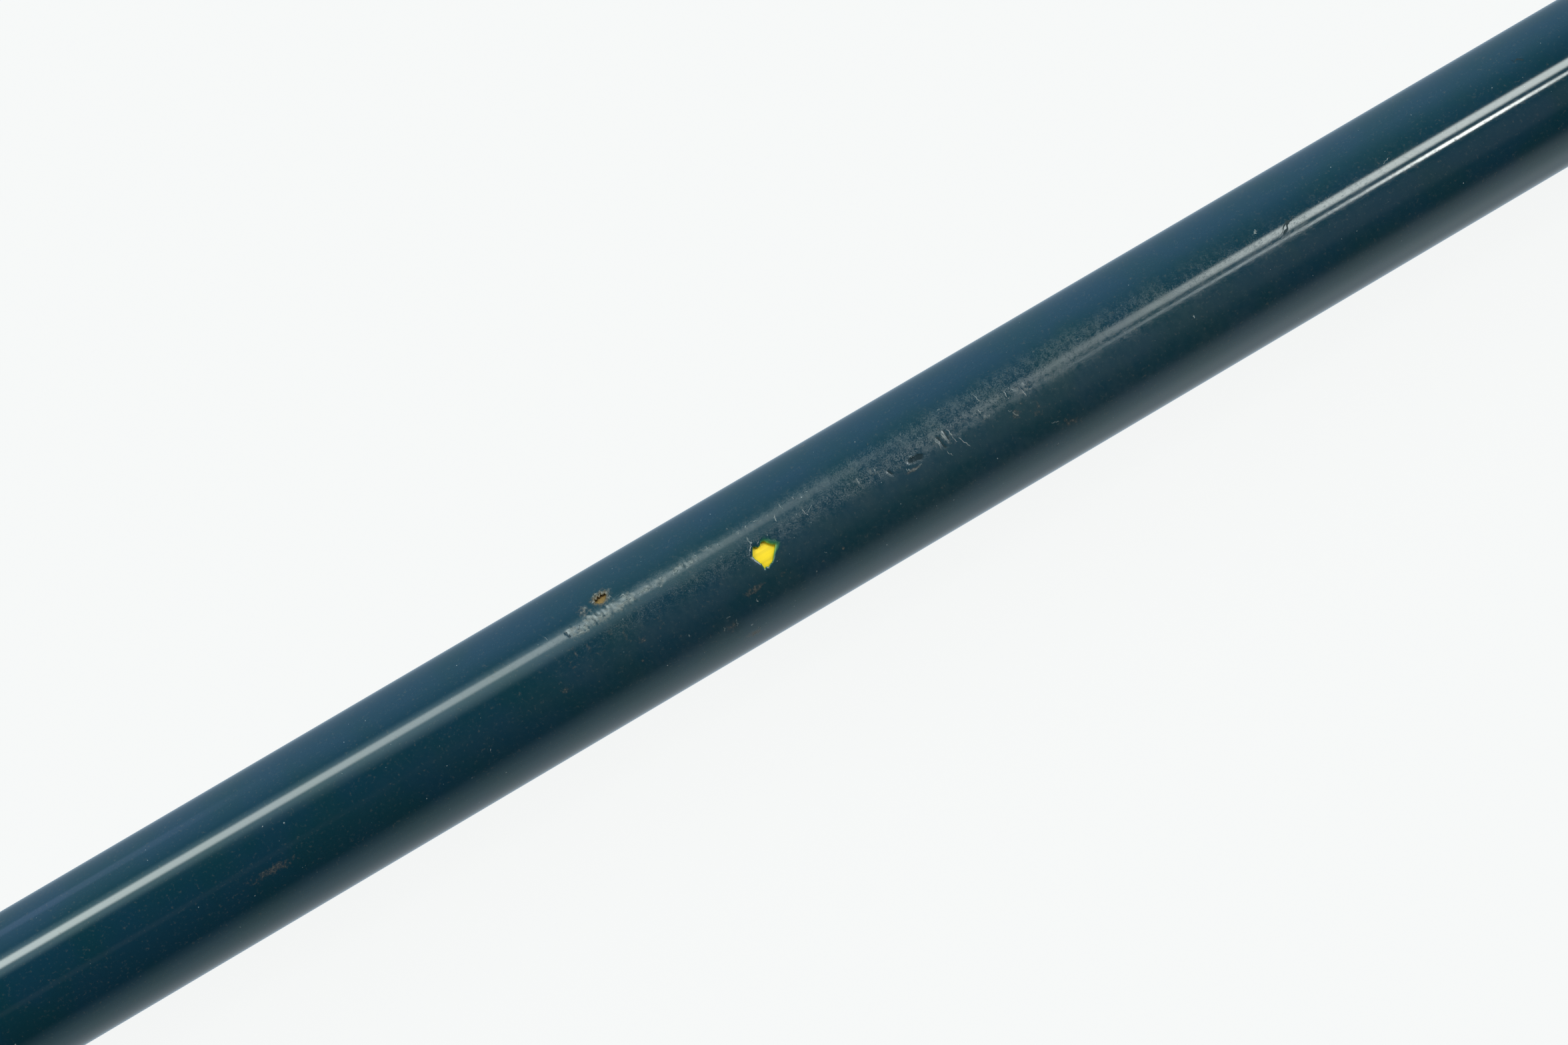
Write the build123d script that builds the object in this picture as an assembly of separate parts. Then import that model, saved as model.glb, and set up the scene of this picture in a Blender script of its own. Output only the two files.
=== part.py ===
from build123d import *

import os
from math import cos, radians, sin, tan

# A golf alignment stick lying along X, point towards +X. Millimetres, +Z up.
# The origin is under the middle of the stick, on the surface it lies on.

# Rod and coat
ROD_LENGTH = 1219.0
ROD_DIAMETER = 8.0
COAT_THICKNESS = 0.2
BUTT_CHAMFER = 0.4

# Ground point: a cone with a blunt round nose
POINT_HALF_ANGLE = 12.0
NOSE_RADIUS = 1.0

# Bare stretches at the ends, where the coat stops short for the caps
BUTT_SOCKET_DEPTH = 25.0
NECK_LENGTH = 14.0
COAT_EDGE_BEVEL = 0.12

# Push-on caps: a plain barrel, a rolled bead round the mouth, a domed closed end
BEAD_RADIUS = 5.5
BEAD_WIDTH = 2.2
BARREL_RADIUS = 5.2
DOME_CORNER = 2.4
BUTT_END_WALL = 2.8
MOUTH_ROUND = 0.5

# Point guard: running clearance round the neck, and pull rings on the barrel
GUARD_CLEARANCE = 0.25
GUARD_MOUTH_GAP = 0.2
GUARD_TIP_GAP = 0.8
GUARD_END_WALL = 2.8
RING_COUNT = 3
RING_PITCH = 3.0
RING_WIDTH = 1.4
RING_HEIGHT = 0.2
RING_ROUND = 0.18

# Chip in the coat: its turn from the top towards -Y in degrees, and its ragged outline. Each corner is
# (along X, up round the rod) from the chip's middle.
CHIP_ANGLE = 15.7
CHIP_OUTLINE = [
    (-0.40, 0.50),
    (-0.30, 0.61),
    (-0.08, 0.47),
    (0.20, 0.64),
    (0.42, 0.45),
    (0.74, 0.15),
    (0.57, -0.06),
    (0.30, -0.41),
    (0.10, -0.55),
    (-0.12, -0.65),
    (-0.34, -0.63),
    (-0.36, -0.36),
    (-0.57, 0.22),
]

# Worked out from the above
COAT_RADIUS = ROD_DIAMETER / 2
CORE_RADIUS = COAT_RADIUS - COAT_THICKNESS
NOSE_START_RADIUS = NOSE_RADIUS * cos(radians(POINT_HALF_ANGLE))
CONE_LENGTH = (CORE_RADIUS - NOSE_START_RADIUS) / tan(radians(POINT_HALF_ANGLE))
NOSE_LENGTH = NOSE_RADIUS * (1 - sin(radians(POINT_HALF_ANGLE)))
OVERALL_LENGTH = BUTT_END_WALL + ROD_LENGTH + GUARD_TIP_GAP + GUARD_END_WALL

BUTT_CAP_END = -OVERALL_LENGTH / 2
BUTT_END = BUTT_CAP_END + BUTT_END_WALL
TIP = BUTT_END + ROD_LENGTH
NOSE_START = TIP - NOSE_LENGTH
SHOULDER = NOSE_START - CONE_LENGTH
COAT_START = BUTT_END + BUTT_SOCKET_DEPTH
COAT_END = SHOULDER - NECK_LENGTH
GUARD_MOUTH = COAT_END + GUARD_MOUTH_GAP
GUARD_BORE_END = TIP + GUARD_TIP_GAP
GUARD_END = GUARD_BORE_END + GUARD_END_WALL


def turned(profile):
    """Turn a closed profile, drawn as (along X, radius), about the stick's axis."""
    return Pos(0, 0, BEAD_RADIUS) * revolve(make_face(profile), axis=Axis.X)


def disc(start, end, radius):
    """A solid cylinder on the stick's axis, from start to end along X."""
    return turned(Polyline((start, 0), (start, radius), (end, radius), (end, 0), close=True))


def rims(solid):
    """The solid's round edges, in order along X."""
    return solid.edges().filter_by(GeomType.CIRCLE).sort_by(Axis.X)


def core_rod():
    """The glass-fibre rod, chamfered at the butt and ground to a blunt point."""
    nose_bearing = radians(90 - POINT_HALF_ANGLE) / 2
    nose_middle = (
        TIP - NOSE_RADIUS + NOSE_RADIUS * cos(nose_bearing),
        NOSE_RADIUS * sin(nose_bearing),
    )
    sides = Polyline(
        (TIP, 0),
        (BUTT_END, 0),
        (BUTT_END, CORE_RADIUS - BUTT_CHAMFER),
        (BUTT_END + BUTT_CHAMFER, CORE_RADIUS),
        (SHOULDER, CORE_RADIUS),
        (NOSE_START, NOSE_START_RADIUS),
    )
    nose = ThreePointArc((NOSE_START, NOSE_START_RADIUS), nose_middle, (TIP, 0))
    return turned(sides + nose)


def chip():
    """A prism from the axis outwards, which cuts the chip's outline through one side of the coat."""
    outline = make_face(Polyline(*CHIP_OUTLINE, close=True))
    return Pos(0, 0, BEAD_RADIUS) * Rot(CHIP_ANGLE, 0, 0) * extrude(outline, amount=ROD_DIAMETER)


def lacquer_skin():
    """The coat round the rod between the two caps, bevelled where it stops at the neck, with the chip."""
    coat = turned(
        Polyline(
            (COAT_START, CORE_RADIUS),
            (COAT_START, COAT_RADIUS),
            (COAT_END - COAT_EDGE_BEVEL, COAT_RADIUS),
            (COAT_END, COAT_RADIUS - COAT_EDGE_BEVEL),
            (COAT_END, CORE_RADIUS),
            close=True,
        )
    )
    return coat - chip()


def plain_cap(mouth, end):
    """A solid cap from its beaded mouth to its domed end, which may lie either way along X."""
    towards = 1 if end > mouth else -1
    barrel = disc(mouth, end, BARREL_RADIUS)
    closed_rim = rims(barrel)[-1 if towards > 0 else 0]
    bead = disc(mouth, mouth + towards * BEAD_WIDTH, BEAD_RADIUS)
    return fillet(closed_rim, DOME_CORNER) + fillet(rims(bead), MOUTH_ROUND)


def pull_ring(middle):
    """A low rounded ring on a cap's barrel."""
    ring = disc(middle - RING_WIDTH / 2, middle + RING_WIDTH / 2, BARREL_RADIUS + RING_HEIGHT)
    return fillet(rims(ring), RING_ROUND)


def butt_cap():
    """The cap glued over the bare butt."""
    return plain_cap(COAT_START, BUTT_CAP_END) - disc(BUTT_END, COAT_START, CORE_RADIUS)


def point_guard():
    """The removable guard over the ground point, with pull rings behind the bead."""
    guard = plain_cap(GUARD_MOUTH, GUARD_END)
    for index in range(RING_COUNT):
        guard += pull_ring(GUARD_MOUTH + BEAD_WIDTH + (index + 1) * RING_PITCH)
    return guard - disc(GUARD_MOUTH, GUARD_BORE_END, CORE_RADIUS + GUARD_CLEARANCE)


NODES = {
    "core_rod": core_rod,
    "lacquer_skin": lacquer_skin,
    "butt_cap": butt_cap,
    "point_guard": point_guard,
}

os.makedirs("parts", exist_ok=True)
for name, make in NODES.items():
    export_step(make(), f"parts/{name}.step")
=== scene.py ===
import math

import bmesh
import bpy
import numpy as np
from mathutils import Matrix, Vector


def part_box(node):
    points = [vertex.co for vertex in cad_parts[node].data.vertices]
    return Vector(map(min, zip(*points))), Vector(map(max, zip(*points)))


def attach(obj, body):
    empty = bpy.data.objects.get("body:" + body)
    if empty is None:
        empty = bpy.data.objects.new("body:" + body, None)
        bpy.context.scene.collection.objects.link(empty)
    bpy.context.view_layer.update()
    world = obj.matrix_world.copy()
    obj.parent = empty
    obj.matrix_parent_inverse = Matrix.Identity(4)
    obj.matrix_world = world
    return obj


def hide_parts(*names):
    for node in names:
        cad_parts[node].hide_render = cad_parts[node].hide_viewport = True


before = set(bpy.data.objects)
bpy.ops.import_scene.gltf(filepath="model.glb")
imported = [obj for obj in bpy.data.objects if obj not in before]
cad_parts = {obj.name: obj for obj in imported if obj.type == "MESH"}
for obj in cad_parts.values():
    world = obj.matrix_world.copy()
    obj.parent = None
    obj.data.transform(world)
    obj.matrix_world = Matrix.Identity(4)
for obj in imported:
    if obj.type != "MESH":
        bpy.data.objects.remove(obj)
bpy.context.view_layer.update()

# An alignment stick lying along X. Lengths are in millimetres unless a name says otherwise.
# A place on the rod is (x, turn): turn is in degrees from the top of the rod towards -Y.

MM = 0.001

SKIN_LOW, SKIN_HIGH = (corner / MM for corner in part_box("lacquer_skin"))
CORE_LOW, CORE_HIGH = (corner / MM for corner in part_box("core_rod"))
CAP_LOW, CAP_HIGH = (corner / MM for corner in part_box("butt_cap"))
GUARD_LOW, GUARD_HIGH = (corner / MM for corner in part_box("point_guard"))

AXIS_HEIGHT = (SKIN_LOW.z + SKIN_HIGH.z) / 2
SKIN_RADIUS = (SKIN_HIGH.z - SKIN_LOW.z) / 2
CORE_RADIUS = (CORE_HIGH.z - CORE_LOW.z) / 2
BEAD_RADIUS = (CAP_HIGH.z - CAP_LOW.z) / 2

# Camera: where it looks from, what it looks at, its lens, and its clipping in metres
CAMERA_AZIMUTH, CAMERA_ELEVATION = -31.674, 72.51
CAMERA_DISTANCE = 270.42
CAMERA_RIGHT, CAMERA_UP = 1.555, 1.909
LENS = 120.0
SENSOR = 36.0
CLIP_START, CLIP_END = 0.01, 100.0

# Rod: butt chamfer, ground point and the bevel where the coat stops
BUTT_CHAMFER = 0.4
POINT_HALF_ANGLE = 12.0
NOSE_RADIUS = 1.0
COAT_EDGE_BEVEL = 0.12
GRIND_BLEND = 0.3
FACET_HEIGHT, FACET_PITCH = 0.02, 3.0

POINT_SLOPE = math.tan(math.radians(POINT_HALF_ANGLE))
NOSE_EDGE = NOSE_RADIUS * math.cos(math.radians(POINT_HALF_ANGLE))
NOSE_START = CORE_HIGH.x - NOSE_RADIUS * (1 - math.sin(math.radians(POINT_HALF_ANGLE)))
SHOULDER = NOSE_START - (CORE_RADIUS - NOSE_EDGE) / POINT_SLOPE

# Caps: bead round the mouth, barrel, domed closed end, end wall, mould seam and rings
BEAD_WIDTH = 2.2
MOUTH_ROUND = 0.5
BARREL_RADIUS = 5.2
DOME_CORNER = 2.4
END_WALL = 2.8
LEAD_IN = 0.15
SEAM_WIDTH, SEAM_HEIGHT = 0.14, 0.05
GUARD_CLEARANCE = 0.25
RING_COUNT, RING_PITCH, RING_WIDTH, RING_HEIGHT, RING_ROUND = 3, 3.0, 1.4, 0.2, 0.18
# The moulding's gate mark in the closed end: a round sink with a nub in its middle
SINK_RADIUS, SINK_FLOOR_RADIUS, SINK_DEPTH = 1.5, 1.2, 0.22
NUB_RADIUS, NUB_TOP_RADIUS, NUB_ROUND = 0.45, 0.3, 0.02
# Moulded walls are a little uneven and lie just inside the drawn section
WALL_WAVE, WALL_WAVE_PITCH, WALL_SHRINK = 0.012, 6.0, 0.03
BORE_MARGIN = 0.8
# Dust lies against steps, and the closed end is rubbed
BEAD_DUST_OFF, BEAD_DUST_REACH = 0.15, 0.3
RING_DUST_OFF, RING_DUST_REACH = 0.1, 0.25
DUST_TOP = 0.12
RUB_START, RUB_FULL = 3.0, 1.0

# Chips through the coat: the middle's place, and corners as (along x, round the rod towards -Y)
MAIN_CHIP = (0.0, 15.7)
MAIN_CHIP_OUTLINE = [
    (-0.40, -0.50),
    (-0.31, -0.61),
    (-0.22, -0.59),
    (-0.14, -0.50),
    (-0.06, -0.47),
    (0.05, -0.52),
    (0.15, -0.62),
    (0.22, -0.64),
    (0.35, -0.58),
    (0.42, -0.45),
    (0.60, -0.24),
    (0.74, -0.15),
    (0.68, -0.05),
    (0.45, 0.20),
    (0.30, 0.41),
    (0.18, 0.52),
    (0.02, 0.57),
    (-0.12, 0.65),
    (-0.22, 0.57),
    (-0.34, 0.65),
    (-0.36, 0.37),
    (-0.43, 0.20),
    (-0.52, -0.01),
    (-0.57, -0.22),
]
DIRTY_CHIP = (-8.3, -19.3)
DIRTY_CHIP_OUTLINE = [
    (-0.36, 0.02),
    (-0.30, -0.20),
    (-0.21, -0.10),
    (-0.10, -0.28),
    (-0.02, -0.15),
    (0.10, -0.30),
    (0.19, -0.18),
    (0.31, -0.24),
    (0.34, -0.06),
    (0.24, 0.06),
    (0.12, 0.17),
    (-0.04, 0.25),
    (-0.20, 0.19),
    (-0.30, 0.11),
]
CHIPS = [(MAIN_CHIP, MAIN_CHIP_OUTLINE), (DIRTY_CHIP, DIRTY_CHIP_OUTLINE)]
# The coat thins towards a chip's edge: how much, and over about what length
FEATHER, FEATHER_LENGTH = 0.08, 0.05
PRISM_OVERSHOOT = 1.0
# How far colour reaches round a chip. The green of the thin coat reaches further at the main chip's upper
# right: all of it past the second x, none of it past the second turn.
THIN_REACH, THIN_REACH_MORE = 0.035, 0.13
THIN_FROM_X, THIN_TO_TURN = (-0.1, 0.7), (14.0, 22.0)
BURNT_REACH = 0.2
# On the rod in the dirty chip: a stain all over, and a darker band along the upper edge at the foot of the
# coat's wall, placed from the chip's middle
ROD_STAIN_REACH = 1.2
DARKER_EDGE_X, DARKER_EDGE_TURN, DARKER_EDGE_HALF_LENGTH, DARKER_EDGE_HALF_WIDTH = 0.02, -3.5, 0.40, 0.17

# How much of the coat's gloss is worn off, by x and by turn. The two shares are multiplied.
WORN_BY_X = [
    (-60, 0.05),
    (-30, 0.12),
    (-14, 0.28),
    (-8, 0.50),
    (-3, 0.58),
    (12, 0.64),
    (20, 0.64),
    (32, 0.44),
    (60, 0.10),
]
WORN_BY_TURN = [
    (-60, 0.0),
    (-28, 0.05),
    (-15, 0.72),
    (6, 0.78),
    (14, 0.95),
    (24, 1.0),
    (45, 0.9),
    (65, 0.3),
    (80, 0.0),
]

# Scratches, which stand up as thin burrs: start place, end place, width
BURRS = [
    (-0.33, -3.0, -0.38, 7.0, 0.15),
    (-11.85, -18.0, -11.75, -10.0, 0.06),
    (-7.45, -13.5, -6.95, -9.5, 0.21),
    (-7.70, -7.0, -6.90, -7.4, 0.12),
    (-6.80, -6.2, -5.70, -6.6, 0.12),
    (-5.35, -10.0, -5.05, -8.0, 0.15),
    (-5.50, -2.5, -5.30, -4.0, 0.12),
    (-4.60, -5.5, -4.15, -8.0, 0.15),
    (-4.10, -7.6, -3.75, -10.5, 0.14),
    (-3.85, -4.5, -3.15, -8.0, 0.14),
    (-3.10, -12.5, -3.00, -7.5, 0.11),
    (-2.45, -13.5, -2.25, -9.0, 0.11),
    (-1.75, -10.0, -1.70, -5.0, 0.08),
    (-0.95, -17.0, -0.90, -15.0, 0.06),
    (-0.58, -10.5, -0.52, -7.0, 0.11),
    (-0.05, -11.0, -0.05, -7.0, 0.08),
    (0.25, -12.0, 0.85, -7.5, 0.08),
    (1.20, -10.0, 1.22, -7.0, 0.06),
    (1.55, -7.5, 1.35, -0.5, 0.09),
    (2.00, -12.5, 2.06, -6.5, 0.08),
    (2.75, -12.5, 2.82, -8.5, 0.09),
    (2.95, -9.0, 3.05, -7.0, 0.08),
    (3.45, -9.5, 3.65, -8.5, 0.09),
    (2.80, -0.5, 3.00, 7.5, 0.08),
    (3.05, 5.0, 3.50, 1.5, 0.06),
    (2.70, 37.0, 2.90, 38.5, 0.08),
    (6.08, -1.0, 6.10, 7.0, 0.06),
    (7.10, 0.0, 7.12, 6.0, 0.08),
    (7.55, 9.0, 7.68, 12.5, 0.09),
    (8.45, 14.8, 8.80, 18.0, 0.17),
    (8.80, 17.8, 9.20, 18.2, 0.12),
    (9.15, 18.0, 9.45, 16.5, 0.11),
    (9.00, 7.0, 9.25, 10.0, 0.09),
    (10.62, 6.0, 10.72, 16.0, 0.09),
    (10.85, 18.0, 11.05, 24.0, 0.08),
    (11.08, 4.0, 11.12, 10.0, 0.08),
    (11.45, 2.5, 11.58, 17.0, 0.12),
    (11.72, 13.0, 12.10, 25.0, 0.08),
    (11.62, -11.5, 11.78, -13.0, 0.11),
    (13.55, -12.0, 13.75, 1.0, 0.08),
    (13.40, 1.0, 13.38, 8.0, 0.11),
    (14.70, 15.0, 14.85, 17.5, 0.09),
    (14.85, 18.0, 15.05, 23.0, 0.08),
    (15.05, 0.0, 15.05, 9.0, 0.08),
    (15.32, -0.5, 15.50, 5.0, 0.11),
    (15.85, 4.0, 15.95, 14.0, 0.06),
    (16.40, 40.0, 16.85, 43.0, 0.08),
    (17.45, -14.5, 17.60, -13.5, 0.06),
    (18.28, 4.0, 18.36, 6.5, 0.08),
    (19.80, -4.5, 19.90, -3.8, 0.12),
    (-5.42, 38.5, -5.38, 41.0, 0.09),
    (-1.48, 41.5, -1.44, 45.0, 0.08),
    (-3.65, 47.0, -3.62, 54.0, 0.14),
    (-3.35, 42.3, -3.05, 43.5, 0.09),
    (-2.85, 47.0, -2.95, 55.0, 0.11),
    (-1.95, 65.0, -1.88, 68.5, 0.11),
    (-9.90, -6.0, -9.60, -9.0, 0.10),
    (-8.95, -8.5, -8.60, -5.5, 0.10),
    (-6.30, -8.6, -5.95, -6.4, 0.10),
    (-8.66, -25.0, -8.52, -22.5, 0.15),
    (-8.38, -26.5, -8.33, -23.0, 0.14),
    (-8.12, -26.5, -8.14, -23.5, 0.14),
    (-7.90, -25.0, -7.92, -22.5, 0.16),
    (-7.80, -22.0, -7.70, -20.0, 0.16),
    (-8.78, -21.5, -8.70, -18.0, 0.13),
    (-8.05, -17.5, -7.75, -16.5, 0.13),
    (-10.40, -3.0, -9.60, -2.4, 0.15),
    (-10.20, -6.5, -9.90, -8.5, 0.12),
    (6.58, 9.0, 6.65, 9.8, 0.12),
    (1.95, 47.0, 2.03, 48.0, 0.11),
    (7.12, -25.3, 7.20, -24.7, 0.09),
    (7.57, -17.6, 7.64, -17.0, 0.09),
    (9.25, -10.9, 9.33, -10.3, 0.11),
    (16.26, 60.0, 16.34, 61.2, 0.15),
    (31.84, 7.0, 32.82, -4.2, 0.08),
    (30.65, -4.0, 31.00, -8.0, 0.18),
    (38.60, -1.0, 39.10, -4.0, 0.08),
]
BURR_HEIGHT = 0.014
# Dark scores filled with dirt, which stand up very little: start place, end place, width
SCORES = [
    (31.98, 8.0, 33.05, -4.0, 0.27),
    (47.60, -22.0, 48.30, -16.0, 0.20),
]
SCORE_HEIGHT = 0.012
# A ridge is a chain of this many rows, which starts this deep in the coat. Its width and height vary from row
# to row by these shares, and its ends keep a small share of both.
RIDGE_ROWS = 9
RIDGE_ROOT = 0.003
RIDGE_WIDTHS, RIDGE_HEIGHTS, RIDGE_END = (0.5, 1.3), (0.5, 1.2), 0.05
# The share of a ridge's height or root from which a point counts as on the ridge
ON_RIDGE = 0.3
# Dark nicks: start place, end place, width
NICKS = [
    (-10.78, -9.5, -10.62, -3.5, 0.06),
    (7.70, 9.0, 7.82, 12.5, 0.10),
    (10.80, 6.0, 10.90, 15.0, 0.09),
    (11.25, 4.0, 11.30, 11.0, 0.08),
]
# Torn milky patches: place, half length along x, half width round the rod, strength
MILKY = [
    (-10.45, -7.0, 0.35, 0.45, 0.55),
    (-10.00, -4.5, 0.60, 0.30, 0.60),
    (-9.30, -8.0, 0.55, 0.50, 0.60),
    (-8.70, -5.0, 0.60, 0.36, 0.60),
    (-8.10, -10.5, 0.50, 0.36, 0.50),
    (-7.80, -5.5, 0.50, 0.30, 0.65),
    (-7.20, -11.0, 0.42, 0.20, 0.70),
    (-7.10, -6.0, 0.45, 0.26, 0.55),
    (-6.10, -6.5, 0.60, 0.18, 0.50),
    (-5.30, -6.0, 0.40, 0.25, 0.50),
    (-4.15, -8.5, 0.50, 0.22, 0.50),
    (-3.40, -7.5, 0.45, 0.22, 0.45),
    (-9.35, -17.0, 0.35, 0.40, 0.45),
    (-7.75, -21.5, 0.25, 0.20, 0.50),
    (-2.30, -10.0, 0.35, 0.18, 0.45),
    (7.00, 4.0, 0.40, 0.30, 0.30),
    (11.20, 10.0, 0.70, 0.50, 0.25),
    (16.00, 8.0, 0.60, 0.50, 0.28),
    (13.60, 11.0, 0.40, 0.12, 0.35),
]
# Brown stains: place, half length along x, half width round the rod, strength
STAINS = [
    (-9.45, -17.0, 0.35, 0.42, 0.7),
    (-8.80, -21.0, 0.25, 0.20, 0.6),
    (-7.60, 24.0, 0.30, 0.24, 0.5),
    (-9.75, 17.0, 0.30, 0.14, 0.4),
    (-12.30, 28.0, 0.28, 0.16, 0.7),
    (-8.10, 38.0, 0.10, 0.12, 0.7),
    (-5.25, 66.5, 0.14, 0.12, 1.0),
    (-1.35, 34.5, 0.75, 0.22, 0.75),
    (-3.20, 52.0, 0.45, 0.38, 0.55),
    (-2.30, 70.0, 0.65, 0.22, 1.0),
    (0.35, 35.0, 0.22, 0.14, 0.6),
    (3.75, 42.0, 0.12, 0.13, 1.0),
    (4.90, -57.0, 0.50, 0.20, 0.6),
    (8.90, 17.5, 0.55, 0.12, 0.9),
    (14.95, 20.5, 0.28, 0.32, 0.7),
    (16.10, 26.0, 0.40, 0.40, 0.5),
    (17.45, 48.0, 0.50, 0.26, 0.7),
    (17.20, 45.5, 0.12, 0.08, 1.0),
    (-29.30, 32.0, 0.60, 0.34, 0.9),
    (-11.40, 16.0, 0.16, 0.70, 0.40),
    (-10.90, 6.0, 0.14, 0.50, 0.40),
    (-10.20, 12.0, 0.16, 0.60, 0.40),
    (-8.90, 9.0, 0.16, 0.50, 0.40),
    (-8.30, 14.0, 0.14, 0.60, 0.40),
    (-6.40, 20.0, 0.16, 0.60, 0.35),
    (15.50, 16.0, 0.14, 0.55, 0.40),
    (37.00, 50.0, 0.30, 0.12, 0.9),
]
# One gouge and one round dent: place, half length along x, half width round the rod, depth
GOUGE = (9.3, 11.0, 0.46, 0.24, 0.014)
DENT = (-3.25, 50.0, 0.42, 0.42, 0.012)
HOLLOW_RAGGED, HOLLOW_PITCH = 0.35, 0.35
NICK_DEPTH = 0.012
# Where the soft edges of patches and hollows start and end, as shares of their half sizes, and the share of
# a thin mark's width that is at full strength
PATCH_EDGE, HOLLOW_EDGE, LINE_CORE = (0.3, 1.3), (0.4, 1.3), 0.2
# Relief of the torn film, and of the worn gloss, which fades out where the mesh gets coarse
FLAKE_HEIGHT, FLAKE_PITCH = 0.007, 0.3
WEAR_HEIGHT, WEAR_PITCH = 0.0005, 0.45
WEAR_FADE_START, WEAR_FADE_END = 14, 20

# Random draws: one seed for each use, and the number of waves summed in a grain, with their range of lengths
RIDGE_SEED, HOLLOW_SEED, WEAR_SEED, FLAKE_SEED, FACET_SEED, WALL_SEED = 11, 12, 13, 14, 16, 18
WAVES, WAVELENGTHS = 14, (0.6, 1.7)

# Meshes: the coarsest pitch, how fast the pitch grows away from the fine stretches, and those stretches
# as (low, high, pitch). COAT_ALONG and ROD_ALONG are along x, the rest are turns.
COAT_FINE = [(-13.0, 20.0, 0.085), (-9.0, -7.6, 0.06), (-0.8, 1.0, 0.045)]
COAT_ALONG = (14.0, 0.11, [*COAT_FINE, (SKIN_HIGH.x, SKIN_HIGH.x, 0.5)])
COAT_ROUND = (9.0, 0.10, [(-24.0, 30.0, 1.25), (-80.0, 105.0, 3.0), (5.0, 27.0, 0.75)])
ROD_ALONG = (14.0, 0.15, [(-9.0, 1.0, 0.15), (SHOULDER, SHOULDER, 0.4)])
ROD_ROUND = (6.0, 0.2, [(-26.0, 28.0, 2.0)])
CAP_ROUND = (4.0, 0.2, [(-90.0, -90.0, 0.6), (90.0, 90.0, 0.6)])
CAP_PITCH = 0.35
CONE_ROWS, NOSE_ROWS = 39, 11
LAST_NOSE_BEARING = 1.0
CORNER_POINTS, RING_CORNER_POINTS, DOME_POINTS = 7, 5, 16
# A section that meets the axis ends in a ring of this radius
AXIS_RING = 0.02
SHARP_ANGLE = 38.0


# ---------------------------------------------------------------- node trees


class Kit:
    """Short ways to add and join nodes in one tree."""

    def __init__(self, tree):
        self.tree = tree
        tree.nodes.clear()

    def plug(self, socket, value):
        if isinstance(value, bpy.types.NodeSocket):
            self.tree.links.new(value, socket)
        else:
            socket.default_value = value

    def node(self, kind, **settings):
        made = self.tree.nodes.new(kind)
        for name, value in settings.items():
            setattr(made, name, value)
        return made

    def math(self, operation, *values):
        made = self.node("ShaderNodeMath", operation=operation)
        for socket, value in zip(made.inputs, values):
            self.plug(socket, value)
        return made.outputs[0]

    def vector(self, operation, *values):
        made = self.node("ShaderNodeVectorMath", operation=operation)
        for socket, value in zip(made.inputs, values):
            self.plug(socket, value)
        return made.outputs[0]

    def ramp(self, value, low, high, to_low=0.0, to_high=1.0, smooth=True):
        """value eased from to_low to to_high as it goes from low to high."""
        kind = "SMOOTHSTEP" if smooth else "LINEAR"
        made = self.node("ShaderNodeMapRange", interpolation_type=kind)
        given = {"Value": value, "From Min": low, "From Max": high, "To Min": to_low, "To Max": to_high}
        for name, number in given.items():
            self.plug(made.inputs[name], number)
        return made.outputs["Result"]

    def mix(self, factor, first, second):
        """second over first, by factor."""
        made = self.node("ShaderNodeMix", data_type="RGBA")
        self.plug(made.inputs["Factor"], factor)
        inputs = {socket.identifier: socket for socket in made.inputs}
        for name, value in (("A_Color", first), ("B_Color", second)):
            self.plug(inputs[name], (*value, 1.0) if isinstance(value, tuple) else value)
        return next(socket for socket in made.outputs if socket.identifier == "Result_Color")

    def cover(self, colour, over, mask, share):
        """over laid on colour where the mask is, at most by share."""
        return self.mix(self.math("MULTIPLY", mask, share), colour, over)

    def colours(self, value, stops):
        """A colour ramp with stops as (place from 0 to 1, colour)."""
        made = self.node("ShaderNodeValToRGB")
        elements = made.color_ramp.elements
        while len(elements) < len(stops):
            elements.new(0.5)
        for element, (place, colour) in zip(elements, stops):
            element.position = place
            element.color = (*colour, 1.0)
        self.plug(made.inputs[0], value)
        return made.outputs[0]

    def noise(self, place, scale, detail=3.0, roughness=0.5):
        made = self.node("ShaderNodeTexNoise")
        given = {"Vector": place, "Scale": scale, "Detail": detail, "Roughness": roughness}
        for name, number in given.items():
            self.plug(made.inputs[name], number)
        return made.outputs["Fac"]

    def split(self, vector):
        made = self.node("ShaderNodeSeparateXYZ")
        self.plug(made.inputs[0], vector)
        return made.outputs

    def attribute(self, name):
        return self.node("ShaderNodeAttribute", attribute_name=name).outputs["Fac"]

    def place(self):
        """The place on the piece in millimetres."""
        here = self.node("ShaderNodeTexCoord").outputs["Object"]
        return self.vector("MULTIPLY", here, (1 / MM, 1 / MM, 1 / MM))

    def bump(self, height, depth, under=None):
        """A bump whose full height is depth in millimetres, on top of another bump if one is given."""
        made = self.node("ShaderNodeBump")
        made.inputs["Distance"].default_value = depth * MM
        self.plug(made.inputs["Height"], height)
        if under:
            self.plug(made.inputs["Normal"], under)
        return made.outputs[0]


def principled(name, build):
    """A material whose one shader is filled in by build(kit), which returns socket values by name."""
    material = bpy.data.materials.new(name)
    material.use_nodes = True
    kit = Kit(material.node_tree)
    values = build(kit)
    shader = kit.node("ShaderNodeBsdfPrincipled")
    for socket, value in values.items():
        kit.plug(shader.inputs[socket], (*value, 1.0) if isinstance(value, tuple) else value)
    out = kit.node("ShaderNodeOutputMaterial")
    kit.plug(out.inputs["Surface"], shader.outputs[0])
    return material


# ---------------------------------------------------------------- studio

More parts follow.
